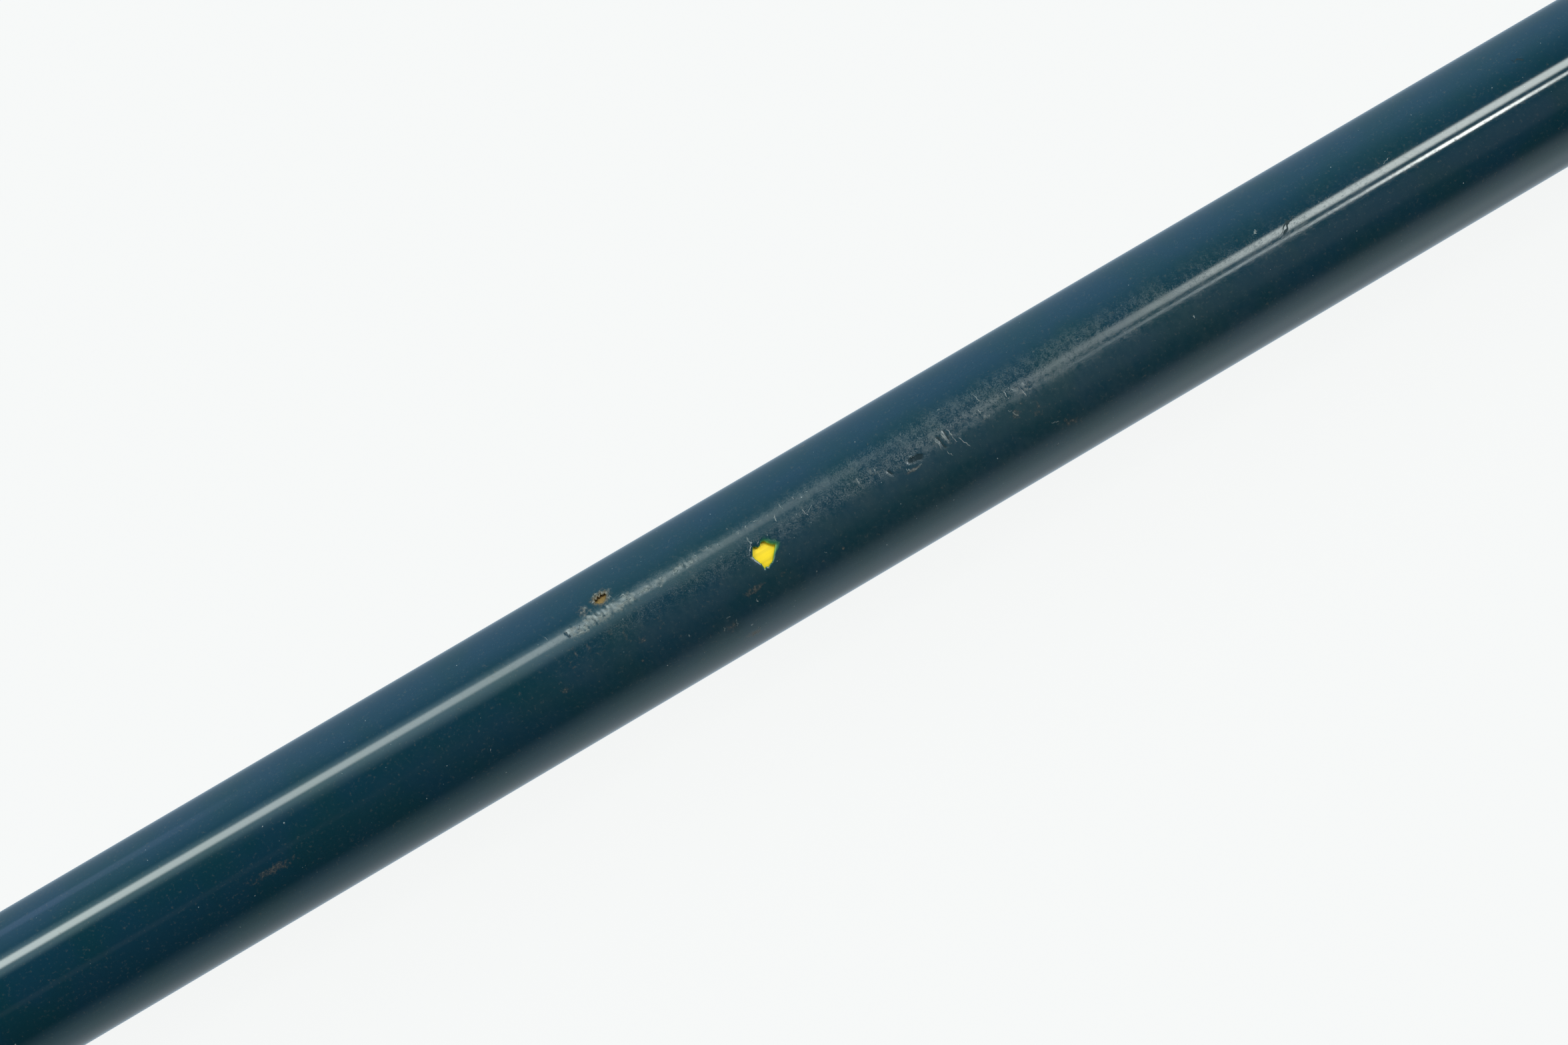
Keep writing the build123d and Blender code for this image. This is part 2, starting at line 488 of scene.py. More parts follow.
# What the room sends back from each direction round the stick: (turn in degrees, colour)
ROOM = [
    (-180, (0.50, 0.62, 0.72)),
    (-130, (0.34, 0.47, 0.60)),
    (-112, (0.38, 0.56, 0.74)),
    (-90, (0.43, 0.71, 1.00)),
    (-73, (0.46, 0.78, 1.10)),
    (-58, (0.34, 0.61, 0.84)),
    (-48, (0.20, 0.40, 0.54)),
    (-36, (0.12, 0.22, 0.28)),
    (-20, (0.04, 0.06, 0.08)),
    (10, (0.03, 0.05, 0.06)),
    (45, (0.03, 0.04, 0.05)),
    (82, (0.03, 0.05, 0.06)),
    (90, (0.18, 0.27, 0.31)),
    (105, (0.44, 0.66, 0.71)),
    (122, (0.60, 0.85, 0.91)),
    (145, (0.64, 0.79, 0.86)),
    (160, (0.60, 0.70, 0.75)),
    (180, (0.50, 0.62, 0.72)),
]
# Bands of light that run along the stick: (turn, slant, half width, colour, (begins, is full, fades, ends)).
# The last four are x of the direction, from -1 to 1. The slant is the turn gained over one unit of it.
BANDS = [
    (-33.9, 34.0, 7.4, (10.7, 11.4, 10.7), (-2.0, -1.0, -0.02, 0.18)),
    (-24.0, 0.0, 22.0, (0.85, 1.20, 1.25), (0.02, 0.09, 0.125, 0.175)),
    (-32.0, 20.0, 19.0, (1.3, 1.9, 1.9), (-2.0, -1.0, 0.0, 0.17)),
    (-9.0, 0.0, 7.4, (12.2, 13.1, 12.4), (0.208, 0.285, 1.0, 2.0)),
    (5.1, 0.0, 2.6, (5.8, 6.6, 6.6), (0.195, 0.265, 1.0, 2.0)),
    (5.1, 0.0, 3.0, (49.0, 50.0, 47.0), (0.2915, 0.2955, 0.3105, 0.3150)),
    (-84.0, 0.0, 9.0, (0.36, 0.42, 0.70), (-2.0, -1.0, 0.01, 0.05)),
    (32.0, 0.0, 22.0, (0.20, 0.22, 0.24), (0.06, 0.22, 1.0, 2.0)),
    (30.0, 0.0, 5.0, (0.15, 0.15, 0.15), (-2.0, -1.0, 0.0, 0.10)),
    (112.0, 0.0, 40.0, (0.38, 0.38, 0.38), (0.02, 0.34, 1.0, 2.0)),
]
# The share of a band's half width that has its full light
BAND_CORE = 0.4
# Lamps and floor, in metres
LAMP_PLACE = (1.9, 0.3, 1.7)
LAMP_SIZE = 1.6
LAMP_WATTS = 27.0
FLOOR_RADIUS, FLOOR_BEND, WALL_TOP = 12.0, 1.5, 3.0
FLOOR_SEGMENTS, BEND_STEPS = 96, 12


def studio_world():
    """A plain studio as a sky: soft zones, and bands of light that run along the stick."""
    world = bpy.data.worlds.new("studio")
    bpy.context.scene.world = world
    world.use_nodes = True
    kit = Kit(world.node_tree)
    x, y, z = kit.split(kit.node("ShaderNodeTexCoord").outputs["Generated"])
    turn = kit.math("DEGREES", kit.math("ARCTAN2", kit.math("MULTIPLY", y, -1.0), z))
    place = kit.math("ADD", kit.math("DIVIDE", turn, 360.0), 0.5)
    light = kit.colours(place, [(angle / 360 + 0.5, colour) for angle, colour in ROOM])
    for centre, slant, half_width, colour, (start, full, fade, end) in BANDS:
        middle = kit.math("MULTIPLY_ADD", x, slant, centre)
        off = kit.math("ABSOLUTE", kit.math("SUBTRACT", turn, middle))
        across = kit.ramp(off, half_width, half_width * BAND_CORE)
        dying = kit.ramp(x, fade, end, 1.0, 0.0, smooth=False)
        along = kit.math("MULTIPLY", kit.ramp(x, start, full), dying)
        band = kit.node("ShaderNodeVectorMath", operation="SCALE")
        band.inputs[0].default_value = colour
        kit.plug(band.inputs["Scale"], kit.math("MULTIPLY", across, along))
        light = kit.vector("ADD", light, band.outputs[0])
    background = kit.node("ShaderNodeBackground")
    kit.plug(background.inputs["Color"], light)
    out = kit.node("ShaderNodeOutputWorld")
    kit.plug(out.inputs["Surface"], background.outputs[0])


def soft_lamps():
    """Two large soft lamps high over the stick, one beyond each end."""
    across, behind, height = LAMP_PLACE
    for name, side in (("lamp_butt", -1), ("lamp_point", 1)):
        data = bpy.data.lights.new(name, "AREA")
        data.shape = "DISK"
        data.size = LAMP_SIZE
        data.energy = LAMP_WATTS
        lamp = bpy.data.objects.new(name, data)
        lamp.location = (side * across, behind, height)
        lamp.rotation_euler = (-lamp.location).to_track_quat("-Z", "Y").to_euler()
        lamp.visible_camera = False
        bpy.context.scene.collection.objects.link(lamp)


def floor():
    """A plain pale floor that sweeps up into a low wall far away."""
    rings = [(FLOOR_RADIUS, 0.0)]
    for step in range(1, BEND_STEPS + 1):
        angle = math.radians(90 * step / BEND_STEPS)
        rings.append((FLOOR_RADIUS + FLOOR_BEND * math.sin(angle), FLOOR_BEND * (1 - math.cos(angle))))
    rings.append((FLOOR_RADIUS + FLOOR_BEND, WALL_TOP))
    turns = np.linspace(0, 2 * math.pi, FLOOR_SEGMENTS, endpoint=False)
    verts = [(r * math.cos(a), r * math.sin(a), z) for r, z in rings for a in turns]
    faces = [list(range(FLOOR_SEGMENTS))] + quads(len(rings), FLOOR_SEGMENTS, wraps=False)
    obj = mesh_object("floor", verts, faces)
    obj.data.materials.append(principled("floor", floor_looks))
    obj.visible_glossy = False


def floor_looks(kit):
    """A white sweep that is lit evenly, so that it shows almost no shadow."""
    return {
        "Base Color": (0.020, 0.020, 0.020),
        "Roughness": 1.0,
        "Specular IOR Level": 0.0,
        "Emission Color": (0.985, 1.0, 0.995),
        "Emission Strength": 0.91,
    }


def camera():
    """The photographer's camera, aimed a little off the middle of the main chip."""
    data = bpy.data.cameras.new("camera")
    data.lens, data.sensor_width = LENS, SENSOR
    data.clip_start, data.clip_end = CLIP_START, CLIP_END
    obj = bpy.data.objects.new("camera", data)
    azimuth, elevation = math.radians(CAMERA_AZIMUTH), math.radians(CAMERA_ELEVATION)
    level = math.cos(elevation)
    back = Vector((math.sin(azimuth) * level, -math.cos(azimuth) * level, math.sin(elevation)))
    right = Vector((math.cos(azimuth), math.sin(azimuth), 0))
    up = back.cross(right)
    aim = Vector((0, 0, AXIS_HEIGHT)) + right * CAMERA_RIGHT + up * CAMERA_UP
    obj.location = (aim + back * CAMERA_DISTANCE) * MM
    obj.rotation_euler = (-back).to_track_quat("-Z", "Y").to_euler()
    bpy.context.scene.collection.objects.link(obj)
    bpy.context.scene.camera = obj
    bpy.context.scene.view_settings.view_transform = "Standard"


# ---------------------------------------------------------------- meshes


def spaced(start, stop, coarse, growth, stretches):
    """Places from start to stop, close together in each stretch and coarser away from it."""
    places = [start]
    while places[-1] < stop:
        here = places[-1]
        pitch = coarse
        for low, high, least in stretches:
            away = max(low - here, here - high, 0.0)
            pitch = min(pitch, least + growth * away)
        places.append(here + pitch)
    scale = (stop - start) / (places[-1] - start)
    return np.array([start + (place - start) * scale for place in places])


def all_round(mesh):
    """Turns all the way round, without the last, which is the first again."""
    return spaced(-180.0, 180.0, *mesh)[:-1]


def quads(rows, columns, wraps):
    """Quads that join rows of columns points. Each row is a ring, and the last row may join the first."""
    row, column = np.meshgrid(np.arange(rows if wraps else rows - 1), np.arange(columns), indexing="ij")
    next_row, next_column = (row + 1) % rows, (column + 1) % columns
    corners = [(row, column), (row, next_column), (next_row, next_column), (next_row, column)]
    return np.stack([(r * columns + c).ravel() for r, c in corners], 1).tolist()


def mesh_object(name, verts, faces):
    """A mesh with its normals outwards, smooth except where it turns sharply."""
    mesh = bpy.data.meshes.new(name)
    mesh.from_pydata(verts, [], faces)
    solid = bmesh.new()
    solid.from_mesh(mesh)
    bmesh.ops.recalc_face_normals(solid, faces=solid.faces)
    solid.to_mesh(mesh)
    solid.free()
    mesh.polygons.foreach_set("use_smooth", [True] * len(mesh.polygons))
    mesh.set_sharp_from_angle(angle=math.radians(SHARP_ANGLE))
    obj = bpy.data.objects.new(name, mesh)
    bpy.context.scene.collection.objects.link(obj)
    return obj


def on_rod(x, turn, radius):
    """Points at places on the rod and distances from its axis, in metres."""
    angle = np.radians(turn)
    return np.stack([x, -radius * np.sin(angle), AXIS_HEIGHT + radius * np.cos(angle)], -1) * MM


def turned_piece(name, xs, radii, turns, wraps=False):
    """A piece turned about the rod's axis: row i lies at xs[i], with its own radius at each of the turns."""
    rows, columns = radii.shape
    gx, gt = np.meshgrid(xs, turns, indexing="ij")
    verts = on_rod(gx, gt, radii).reshape(-1, 3).tolist()
    faces = quads(rows, columns, wraps)
    if not wraps:
        faces.append(list(range(columns)))
        faces.append(list(range((rows - 1) * columns, rows * columns)))
    return mesh_object(name, verts, faces)


def places_of(obj):
    """The x, turn and radius of each of a piece's points."""
    points = np.empty(len(obj.data.vertices) * 3)
    obj.data.vertices.foreach_get("co", points)
    x, y, z = points.reshape(-1, 3).T / MM
    z = z - AXIS_HEIGHT
    return x, np.degrees(np.arctan2(-y, z)), np.hypot(y, z)


def paint(obj, name, values):
    """Store one value for each point of a piece, which its material reads by name."""
    layer = obj.data.attributes.new(name, "FLOAT", "POINT")
    layer.data.foreach_set("value", np.clip(values, 0, 1).astype(np.float32))


def cut(obj, cutter):
    """Cut one solid out of another, and drop the cutter."""
    step = obj.modifiers.new("cut", "BOOLEAN")
    step.operation = "DIFFERENCE"
    step.solver = "EXACT"
    step.object = cutter
    with bpy.context.temp_override(object=obj, active_object=obj):
        bpy.ops.object.modifier_apply(modifier=step.name)
    bpy.data.objects.remove(cutter)


def join(obj, other):
    """Make another mesh part of a piece, and drop the other's object."""
    both = bmesh.new()
    both.from_mesh(obj.data)
    both.from_mesh(other.data)
    both.to_mesh(obj.data)
    both.free()
    bpy.data.objects.remove(other)


def finish_piece(obj, material, body, node):
    """Give a piece its material, hang it under its body and hide the part that it stands for."""
    obj.data.materials.clear()
    obj.data.materials.append(material)
    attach(obj, body)
    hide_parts(node)


# ---------------------------------------------------------------- marks on the coat


def ease(value, low, high):
    """0 at low, 1 at high, smooth between."""
    share = np.clip((value - low) / (high - low), 0, 1)
    return share * share * (3 - 2 * share)


def round_rod(turn, centre=0.0):
    """Distance round the coat from the centre's turn, towards -Y."""
    return np.radians((turn - centre + 180) % 360 - 180) * SKIN_RADIUS


def grain(x, turn, pitch, seed):
    """Smooth noise with about that pitch, mostly from -1 to 1."""
    random = np.random.default_rng(seed)
    across = round_rod(turn)
    total = np.zeros_like(x)
    for _ in range(WAVES):
        heading = random.uniform(0, 2 * math.pi)
        wavelength = pitch * random.uniform(*WAVELENGTHS)
        phase = random.uniform(0, 2 * math.pi)
        along = x * math.cos(heading) + across * math.sin(heading)
        total += np.cos(2 * math.pi * along / wavelength + phase)
    return total / math.sqrt(WAVES)


def off_line(x, across, start, end):
    """Distance of points from the straight line between two points on the unrolled coat."""
    ax, ay = start
    dx, dy = end[0] - ax, end[1] - ay
    share = np.clip(((x - ax) * dx + (across - ay) * dy) / (dx * dx + dy * dy), 0, 1)
    return np.hypot(x - ax - share * dx, across - ay - share * dy)


def lines(x, turn, marks):
    """How far inside any of the thin marks each place is, from 0 to 1."""
    across = round_rod(turn)
    total = np.zeros_like(x)
    for x0, turn0, x1, turn1, width in marks:
        off = off_line(x, across, (x0, round_rod(turn0)), (x1, round_rod(turn1)))
        total = np.maximum(total, 1 - ease(off, width * LINE_CORE, width))
    return total


def patches(x, turn, marks):
    """How far inside any of the soft oval patches each place is, from 0 to 1."""
    total = np.zeros_like(x)
    for middle, centre, half_length, half_width, strength in marks:
        off = np.hypot((x - middle) / half_length, round_rod(turn, centre) / half_width)
        total = np.maximum(total, strength * (1 - ease(off, *PATCH_EDGE)))
    return total


def off_chip(x, turn, chip, outline):
    """Distance of each place from a chip's outline, to either side of it."""
    across = round_rod(turn, chip[1])
    corners = zip(outline, outline[1:] + outline[:1])
    return np.min([off_line(x - chip[0], across, start, end) for start, end in corners], axis=0)


def off_chips(x, turn):
    """Distance of each place from the nearest chip's outline."""
    return np.min([off_chip(x, turn, chip, outline) for chip, outline in CHIPS], axis=0)


def wear(x, turn):
    """The share of the coat's gloss that is worn off, from 0 to 1."""
    return np.interp(x, *zip(*WORN_BY_X)) * np.interp(turn, *zip(*WORN_BY_TURN))


def hollow(x, turn, mark):
    """How far into a gouge or dent each place is, from 0 to 1, with an uneven edge."""
    middle, centre, half_length, half_width, _ = mark
    off = np.hypot((x - middle) / half_length, round_rod(turn, centre) / half_width)
    return 1 - ease(off + HOLLOW_RAGGED * grain(x, turn, HOLLOW_PITCH, HOLLOW_SEED), *HOLLOW_EDGE)


def relief(x, turn):
    """Height of the coat's surface over a plain round rod."""
    near_chip = 1 - ease(np.abs(x), WEAR_FADE_START, WEAR_FADE_END)
    height = WEAR_HEIGHT * near_chip * wear(x, turn) * grain(x, turn, WEAR_PITCH, WEAR_SEED)
    height += FLAKE_HEIGHT * patches(x, turn, MILKY) * grain(x, turn, FLAKE_PITCH, FLAKE_SEED)
    height -= NICK_DEPTH * lines(x, turn, NICKS)
    for mark in (GOUGE, DENT):
        depth = mark[-1]
        height -= depth * hollow(x, turn, mark)
    height -= FEATHER * np.exp(-off_chips(x, turn) / FEATHER_LENGTH)
    return height


def paint_coat(obj):
    """Store the marks on the coat for its material."""
    x, turn, radius = places_of(obj)
    paint(obj, "wear", wear(x, turn))
    paint(obj, "milky", patches(x, turn, MILKY))
    paint(obj, "stain", patches(x, turn, STAINS))
    scored = (np.abs(radius - SKIN_RADIUS) > RIDGE_ROOT * ON_RIDGE) & (lines(x, turn, SCORES) > 0)
    paint(obj, "dark", np.max([hollow(x, turn, GOUGE), lines(x, turn, NICKS), scored], axis=0))
    upper_right = ease(x, *THIN_FROM_X) * (1 - ease(turn, *THIN_TO_TURN))
    thin_reach = THIN_REACH + THIN_REACH_MORE * upper_right
    paint(obj, "thin", np.exp(-off_chip(x, turn, MAIN_CHIP, MAIN_CHIP_OUTLINE) / thin_reach))
    paint(obj, "burnt", np.exp(-off_chip(x, turn, DIRTY_CHIP, DIRTY_CHIP_OUTLINE) / BURNT_REACH))
    paint(obj, "burr", radius > SKIN_RADIUS + BURR_HEIGHT * ON_RIDGE)


def ridges(marks, height):
    """Thin ragged ridges that stand on the coat, one for each mark, as points and faces."""
    random = np.random.default_rng(RIDGE_SEED)
    verts, faces = [], []
    for x0, turn0, x1, turn1, width in marks:
        across0, across1 = round_rod(turn0), round_rod(turn1)
        length = math.hypot(x1 - x0, across1 - across0)
        sideways = np.array([across0 - across1, x1 - x0]) / length
        share = np.linspace(0, 1, RIDGE_ROWS)
        ends = np.sqrt(np.sin(np.pi * share)) + RIDGE_END
        half = width / 2 * ends * random.uniform(*RIDGE_WIDTHS, RIDGE_ROWS)
        drift = width / 2 * random.uniform(-1, 1, RIDGE_ROWS)
        ridge = height * ends * random.uniform(*RIDGE_HEIGHTS, RIDGE_ROWS)
        first = len(verts)
        for side, lift in ((-1, 0), (0, 1), (1, 0), (0, -1)):
            off = drift + side * half
            x = x0 + (x1 - x0) * share + sideways[0] * off
            across = across0 + (across1 - across0) * share + sideways[1] * off
            radius = SKIN_RADIUS - RIDGE_ROOT + lift * ridge
            verts += on_rod(x, np.degrees(across / SKIN_RADIUS), radius).tolist()
        strips = quads(4, RIDGE_ROWS, wraps=True)
        faces += [[first + i for i in face] for face in strips if face_is_along(face)]
    return verts, faces


def face_is_along(face):
    """Whether a quad of a ridge joins neighbouring rows, not its two ends."""
    rows = [i % RIDGE_ROWS for i in face]
    return max(rows) - min(rows) == 1


# ---------------------------------------------------------------- materials

# Colours
TEAL = (0.0011, 0.0182, 0.0275)
TEAL_BLUE = (0.0018, 0.0182, 0.0330)
TEAL_WORN = (0.0160, 0.0480, 0.0600)
FILM = (0.026, 0.042, 0.044)
TORN = (0.105, 0.125, 0.120)
MILK = (0.098, 0.104, 0.094)
BROWN = (0.080, 0.062, 0.045)
NICK = (0.004, 0.012, 0.016)
DEEP_GREEN = (0.003, 0.070, 0.024)
LIME = (0.12, 0.24, 0.02)
BURNT = (0.070, 0.054, 0.026)
DUST = (0.30, 0.33, 0.33)
YELLOW = (0.76, 0.525, 0.012)
YELLOW_FIBRE = (0.67, 0.46, 0.014)
GROUND_YELLOW = (0.74, 0.62, 0.20)
STAINED_YELLOW = (0.15, 0.088, 0.020)
# The colour of the darker band along the dirty chip's upper edge, at the foot of the coat's wall
DARKER_EDGE = (0.10, 0.055, 0.02)
SOIL = (0.06, 0.035, 0.02)
BUTT_VINYL = ((0.012, 0.013, 0.014), (0.020, 0.021, 0.022))
GUARD_VINYL = ((0.013, 0.014, 0.014), (0.024, 0.025, 0.025))
VINYL_DUST = (0.23, 0.21, 0.18)
VINYL_RUBBED = (0.16, 0.17, 0.17)

# How much of each mark's colour shows where the mark is strongest
HAZE_SHARE, MILK_SHARE, STAIN_SHARE, DARK_SHARE, DUST_SHARE = 0.42, 0.7, 0.55, 0.85, 0.5
DARKER_EDGE_SHARE, SOIL_SHARE = 0.5, 0.85
VINYL_DUST_SHARE, RUBBED_SHARE, RUBBED_SMOOTHER = 0.5, 0.35, 0.12

# Roughness of the coat, from gloss to dirt
GLOSS_ROUGHNESS, WORN_ROUGHNESS, MILKY_ROUGHNESS, DIRT_ROUGHNESS = 0.08, 0.27, 0.36, 0.5

# Depths of the bumps
PEEL_DEPTH, SCUFF_DEPTH, FIBRE_DEPTH, VINYL_DEPTH = 0.0015, 0.0016, 0.01, 0.03

# Soil on the ground point, from the tip back
SOIL_REACH = 24


def lacquer_looks(kit):
    """Glossy teal lacquer, with its scuffs, scratches, stains and the thin green edge of the chip."""
    place = kit.place()
    fine = kit.noise(place, 18.0, detail=2.0)
    rough_noise = kit.noise(place, 6.0, detail=4.0, roughness=0.6)
    ragged = kit.ramp(rough_noise, 0.25, 0.75, -0.5, 0.5, smooth=False)
    round_it = kit.vector("MULTIPLY", place, (1.0, 0.6, 0.6))
    mottle = kit.noise(round_it, 4.0, detail=4.0, roughness=0.6)
    patchy = kit.noise(round_it, 0.9, detail=3.0)
    cloud = kit.noise(place, 0.3, detail=2.0)

    def broken(name, low, high):
        """A painted mark with a ragged edge."""
        return kit.ramp(kit.math("ADD", kit.attribute(name), ragged), low, high)

    wear_here = kit.attribute("wear")
    uneven_close = kit.ramp(mottle, 0.3, 0.7, 0.75, 1.25)
    uneven_far = kit.ramp(patchy, 0.3, 0.7, 0.85, 1.15)
    haze = kit.math("MULTIPLY", wear_here, kit.math("MULTIPLY", uneven_close, uneven_far))
    worn = kit.ramp(kit.math("ADD", fine, kit.math("MULTIPLY", haze, 0.6)), 0.68, 0.92)
    milky = broken("milky", 0.1, 1.0)
    stain = broken("stain", 0.2, 1.2)
    dark = broken("dark", 0.2, 0.9)
    burr = kit.attribute("burr")
    colour = kit.mix(kit.ramp(cloud, 0.35, 0.65), TEAL, TEAL_BLUE)
    colour = kit.cover(colour, kit.mix(patchy, TEAL_WORN, FILM), haze, HAZE_SHARE)
    colour = kit.cover(colour, MILK, milky, MILK_SHARE)
    colour = kit.cover(colour, BROWN, stain, STAIN_SHARE)
    colour = kit.cover(colour, TORN, burr, kit.ramp(ragged, -0.3, 0.3, 0.3, 0.9))
    colour = kit.cover(colour, NICK, dark, DARK_SHARE)
    thin = kit.math("ADD", kit.attribute("thin"), kit.math("MULTIPLY", ragged, 0.25))
    colour = kit.mix(kit.ramp(thin, 0.12, 0.55), colour, DEEP_GREEN)
    colour = kit.mix(kit.ramp(thin, 0.50, 0.95), colour, LIME)
    burnt = kit.math("ADD", kit.attribute("burnt"), kit.math("MULTIPLY", ragged, 0.5))
    colour = kit.mix(kit.ramp(burnt, 0.2, 1.0), colour, BURNT)
    dust = kit.ramp(kit.noise(place, 5.0, detail=1.0), 0.79, 0.83)
    colour = kit.cover(colour, DUST, dust, DUST_SHARE)
    rough = kit.ramp(worn, 0.0, 1.0, GLOSS_ROUGHNESS, WORN_ROUGHNESS, smooth=False)
    rough = kit.math("MAXIMUM", rough, kit.math("MULTIPLY", milky, MILKY_ROUGHNESS))
    for mask in (stain, burr, dust, dark, kit.ramp(thin, 0.1, 0.5), burnt):
        rough = kit.math("MAXIMUM", rough, kit.math("MULTIPLY", mask, DIRT_ROUGHNESS))
    peel = kit.bump(kit.noise(place, 0.55, detail=1.0), PEEL_DEPTH)
    scuffs = kit.math("MULTIPLY", mottle, wear_here)
    return {
        "Base Color": colour,
        "Roughness": rough,
        "IOR": 1.5,
        "Specular IOR Level": kit.ramp(dark, 0.0, 1.0, 0.5, 0.1, smooth=False),
        "Normal": kit.bump(scuffs, SCUFF_DEPTH, under=peel),
    }


def fibre_looks(kit):
    """Yellow glass-fibre rod: fine lengthwise fibres, a ground point and soil near its tip."""
    place = kit.place()
    x = kit.split(place)[0]
    along = kit.vector("MULTIPLY", place, (0.06, 1.0, 1.0))
    fibres = kit.noise(along, 5.0, detail=4.0, roughness=0.6)
    rings = kit.noise(kit.vector("MULTIPLY", place, (1.0, 0.05, 0.05)), 9.0, detail=3.0)
    ground = kit.attribute("ground")
    stain = kit.attribute("stain")
    colour = kit.mix(kit.ramp(fibres, 0.35, 0.65), YELLOW, YELLOW_FIBRE)
    colour = kit.cover(colour, GROUND_YELLOW, ground, kit.ramp(rings, 0.35, 0.65))
    colour = kit.mix(stain, colour, STAINED_YELLOW)
    # The rod is coloured darker in a band along the dirty chip's upper edge, at the foot of the coat's wall
    darker_edge = kit.ramp(kit.math("ADD", kit.attribute("darker_edge"), kit.ramp(fibres, 0, 1, -0.3, 0.3)), 0.35, 0.8)
    colour = kit.cover(colour, DARKER_EDGE, darker_edge, DARKER_EDGE_SHARE)
    tip = kit.ramp(x, CORE_HIGH.x - SOIL_REACH, CORE_HIGH.x)
    soil = kit.ramp(kit.math("MULTIPLY", tip, kit.noise(place, 0.9, detail=5.0)), 0.32, 0.5)
    colour = kit.cover(colour, SOIL, soil, SOIL_SHARE)
    rough = kit.math("ADD", kit.ramp(ground, 0, 1, 0.42, 0.6), kit.math("MULTIPLY", fibres, 0.1))
    height = kit.mix(ground, fibres, rings)
    return {
        "Base Color": colour,
        "Roughness": rough,
        "Specular IOR Level": 0.3,
        "Normal": kit.bump(height, FIBRE_DEPTH),
    }


def vinyl_looks(dark, light):
    """Soft matt vinyl, with a fine grain, pale dust low on its steps and a few rubbed spots."""

    def looks(kit):
        place = kit.place()
        grain_fine = kit.noise(place, 6.0, detail=4.0)
        cloud = kit.noise(place, 0.35, detail=4.0)
        worn = kit.attribute("worn")
        dust = kit.ramp(kit.math("ADD", kit.attribute("groove"), kit.ramp(cloud, 0, 1, -0.4, 0.4)), 0.4, 1.1)
        colour = kit.mix(kit.ramp(cloud, 0.3, 0.7), dark, light)
        colour = kit.cover(colour, VINYL_DUST, dust, VINYL_DUST_SHARE)
        rubbed = kit.ramp(kit.math("ADD", worn, kit.ramp(grain_fine, 0, 1, -0.5, 0.5)), 0.45, 0.9)
        colour = kit.cover(colour, VINYL_RUBBED, rubbed, RUBBED_SHARE)
        rough = kit.ramp(cloud, 0.25, 0.75, 0.42, 0.62)
        rough = kit.math("SUBTRACT", rough, kit.math("MULTIPLY", rubbed, RUBBED_SMOOTHER))
        return {"Base Color": colour, "Roughness": rough, "Normal": kit.bump(grain_fine, VINYL_DEPTH)}

    return looks


# ---------------------------------------------------------------- the stick


def coat():
    """The lacquer coat: one tube, with relief where it is marked and holes where it is chipped."""
    xs = spaced(SKIN_LOW.x, SKIN_HIGH.x, *COAT_ALONG)
    turns = all_round(COAT_ROUND)
    gx, gt = np.meshgrid(xs, turns, indexing="ij")
    radii = SKIN_RADIUS + relief(gx, gt)
    bevel = np.full((1, len(turns)), SKIN_RADIUS - COAT_EDGE_BEVEL)
    bore = np.full((2, len(turns)), CORE_RADIUS)
    xs[-1] = SKIN_HIGH.x - COAT_EDGE_BEVEL
    rows = np.concatenate([xs, [SKIN_HIGH.x, SKIN_HIGH.x, SKIN_LOW.x]])
    obj = turned_piece("lacquer_coat", rows, np.concatenate([radii, bevel, bore]), turns, wraps=True)
    for chip, outline in CHIPS:
        cut(obj, chip_prism(chip, outline))
    join(obj, mesh_object("burrs", *ridges(BURRS, BURR_HEIGHT)))
    join(obj, mesh_object("scores", *ridges(SCORES, SCORE_HEIGHT)))
    paint_coat(obj)
    finish_piece(obj, principled("teal_lacquer", lacquer_looks), "stick", "lacquer_skin")


def chip_prism(chip, outline):
    """A prism over a chip's outline, which starts inside the rod and passes out through the coat."""
    middle, turn = chip
    angle = math.radians(turn)
    outwards = np.array([0, -math.sin(angle), math.cos(angle)])
    sideways = np.array([0, -math.cos(angle), -math.sin(angle)])
    verts = []
    for height in (CORE_RADIUS - PRISM_OVERSHOOT, SKIN_RADIUS + PRISM_OVERSHOOT):
        for x, across in outline:
            point = np.array([middle + x, 0, AXIS_HEIGHT]) + outwards * height + sideways * across
            verts.append(tuple(point * MM))
    corners = len(outline)
    faces = [list(range(corners)), list(range(corners, 2 * corners))] + quads(2, corners, wraps=False)
    return mesh_object("chip_prism", verts, faces)


def ground_share(x):
    """0 on the drawn rod and 1 on the ground point."""
    return ease(x, SHOULDER - GRIND_BLEND, SHOULDER + GRIND_BLEND)


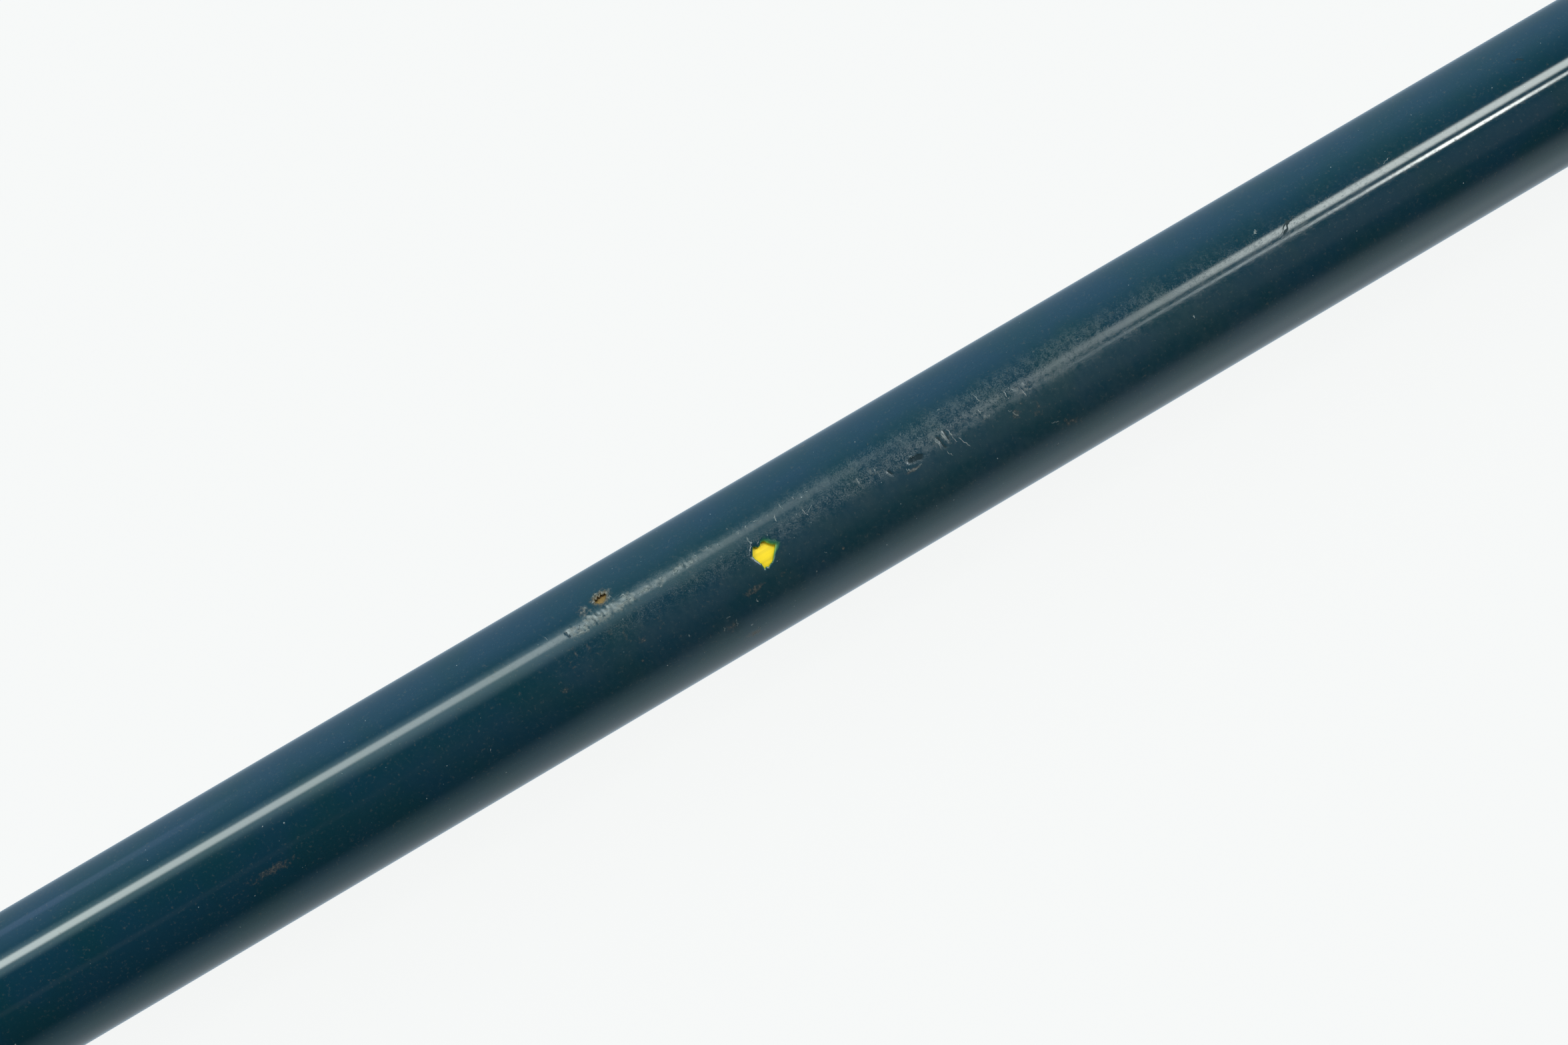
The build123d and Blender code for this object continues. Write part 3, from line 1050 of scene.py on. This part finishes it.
def rod():
    """The glass-fibre rod under the coat, with its chamfered butt and its ground point."""
    straight = spaced(CORE_LOW.x + BUTT_CHAMFER, SHOULDER, *ROD_ALONG)
    cone = np.linspace(SHOULDER, NOSE_START, CONE_ROWS + 1)[1:]
    nose_bearings = np.radians(np.linspace(90 - POINT_HALF_ANGLE, LAST_NOSE_BEARING, NOSE_ROWS + 1))[1:]
    nose = CORE_HIGH.x - NOSE_RADIUS + NOSE_RADIUS * np.cos(nose_bearings)
    xs = np.concatenate([[CORE_LOW.x, CORE_LOW.x], straight, cone, nose])
    profile = np.concatenate(
        [
            [AXIS_RING, CORE_RADIUS - BUTT_CHAMFER],
            np.full(len(straight), CORE_RADIUS),
            NOSE_EDGE + (NOSE_START - cone) * POINT_SLOPE,
            NOSE_RADIUS * np.sin(nose_bearings),
        ]
    )
    turns = all_round(ROD_ROUND)
    gx, gt = np.meshgrid(xs, turns, indexing="ij")
    thickness = np.minimum(profile / FACET_PITCH, 1)[:, None]
    facets = FACET_HEIGHT * ground_share(gx) * grain(gx, gt, FACET_PITCH, FACET_SEED) * thickness
    obj = turned_piece("glass_fibre_rod", xs, profile[:, None] + facets, turns)
    x, turn, _ = places_of(obj)
    middle, centre = DIRTY_CHIP
    stain = (middle, centre, ROD_STAIN_REACH, ROD_STAIN_REACH, 1.0)
    # A band along the dirty chip's upper edge, at the foot of the coat's wall, where the rod is coloured
    # darker
    darker_edge = (middle + DARKER_EDGE_X, centre + DARKER_EDGE_TURN, DARKER_EDGE_HALF_LENGTH, DARKER_EDGE_HALF_WIDTH, 1.0)
    paint(obj, "ground", ground_share(x))
    paint(obj, "stain", patches(x, turn, [stain]))
    paint(obj, "darker_edge", patches(x, turn, [darker_edge]))
    finish_piece(obj, principled("glass_fibre", fibre_looks), "stick", "core_rod")


def corner(along, out, radius, start, end, count=CORNER_POINTS):
    """Points round a rounded corner of a section, by bearing in degrees from the cap's closed end."""
    bearings = np.radians(np.linspace(start, end, count))
    return [(along + radius * math.cos(b), out + radius * math.sin(b)) for b in bearings]


def cap_section(length, bore_depth, bore_radius, rings):
    """Half a cap's section as (distance from its mouth, radius), from its bore round to its closed end."""
    points = [(bore_depth, AXIS_RING), (bore_depth, bore_radius), (LEAD_IN * 2, bore_radius)]
    points += [(0.0, bore_radius + LEAD_IN)]
    points += corner(MOUTH_ROUND, BEAD_RADIUS - MOUTH_ROUND, MOUTH_ROUND, 180, 90)
    points += corner(BEAD_WIDTH - MOUTH_ROUND, BEAD_RADIUS - MOUTH_ROUND, MOUTH_ROUND, 90, 0)
    points += [(BEAD_WIDTH, BARREL_RADIUS)]
    for middle in ring_middles(rings):
        top = BARREL_RADIUS + RING_HEIGHT - RING_ROUND
        half = RING_WIDTH / 2
        points += [(middle - half, BARREL_RADIUS)]
        points += corner(middle - half + RING_ROUND, top, RING_ROUND, 180, 90, RING_CORNER_POINTS)
        points += corner(middle + half - RING_ROUND, top, RING_ROUND, 90, 0, RING_CORNER_POINTS)
        points += [(middle + half, BARREL_RADIUS)]
    points += corner(length - DOME_CORNER, BARREL_RADIUS - DOME_CORNER, DOME_CORNER, 90, 0, DOME_POINTS)
    points += [(length, SINK_RADIUS), (length - SINK_DEPTH, SINK_FLOOR_RADIUS)]
    points += [(length - SINK_DEPTH, NUB_RADIUS), (length - NUB_ROUND, NUB_TOP_RADIUS), (length, AXIS_RING)]
    return points


def ring_middles(rings):
    """Distances of the pull rings from a cap's mouth."""
    return [BEAD_WIDTH + (index + 1) * RING_PITCH for index in range(rings)]


def filled_in(points, pitch):
    """The same path, with more points on its long straight parts."""
    path = [points[0]]
    for start, end in zip(points, points[1:]):
        steps = max(1, math.ceil(math.dist(start, end) / pitch))
        for step in range(1, steps + 1):
            share = step / steps
            path.append(tuple(a + (b - a) * share for a, b in zip(start, end)))
    return np.array(path)


def cap(name, mouth, end, bore_end, bore_radius, rings):
    """A push-on cap, with a mould seam along each side. It may lie either way along x."""
    towards = 1 if end > mouth else -1
    length = abs(end - mouth)
    section = filled_in(cap_section(length, abs(bore_end - mouth), bore_radius, rings), CAP_PITCH)
    along, out = section.T
    turns = all_round(CAP_ROUND)
    xs = mouth + towards * along
    gx, gt = np.meshgrid(xs, turns, indexing="ij")
    outside = (out > bore_radius + BORE_MARGIN)[:, None]
    seam = np.exp(-((round_rod(np.abs(gt), 90.0) / SEAM_WIDTH) ** 2))
    wave = WALL_WAVE * grain(gx, gt, WALL_WAVE_PITCH, WALL_SEED)
    radii = out[:, None] + outside * (SEAM_HEIGHT * seam + wave - WALL_SHRINK)
    obj = turned_piece(name, xs, radii, turns)
    x, _, radius = places_of(obj)
    from_mouth = np.abs(x - mouth)
    groove = np.exp(-np.abs(from_mouth - BEAD_WIDTH - BEAD_DUST_OFF) / BEAD_DUST_REACH)
    for middle in ring_middles(rings):
        for side in (-1, 1):
            step = middle + side * (RING_WIDTH / 2 + RING_DUST_OFF)
            groove = np.maximum(groove, np.exp(-np.abs(from_mouth - step) / RING_DUST_REACH))
    paint(obj, "groove", groove * (radius < BARREL_RADIUS + DUST_TOP))
    paint(obj, "worn", ease(from_mouth, length - RUB_START, length - RUB_FULL))
    return obj


def butt_cap():
    """The cap glued over the bare butt."""
    obj = cap("butt_cap_vinyl", SKIN_LOW.x, CAP_LOW.x, CORE_LOW.x, CORE_RADIUS, rings=0)
    looks = vinyl_looks(*BUTT_VINYL)
    finish_piece(obj, principled("cap_vinyl", looks), "stick", "butt_cap")


def point_guard():
    """The removable guard over the ground point."""
    bore_end, bore_radius = GUARD_HIGH.x - END_WALL, CORE_RADIUS + GUARD_CLEARANCE
    obj = cap("point_guard_vinyl", GUARD_LOW.x, GUARD_HIGH.x, bore_end, bore_radius, RING_COUNT)
    looks = vinyl_looks(*GUARD_VINYL)
    finish_piece(obj, principled("guard_vinyl", looks), "guard", "point_guard")


camera()
studio_world()
soft_lamps()
floor()
rod()
coat()
butt_cap()
point_guard()
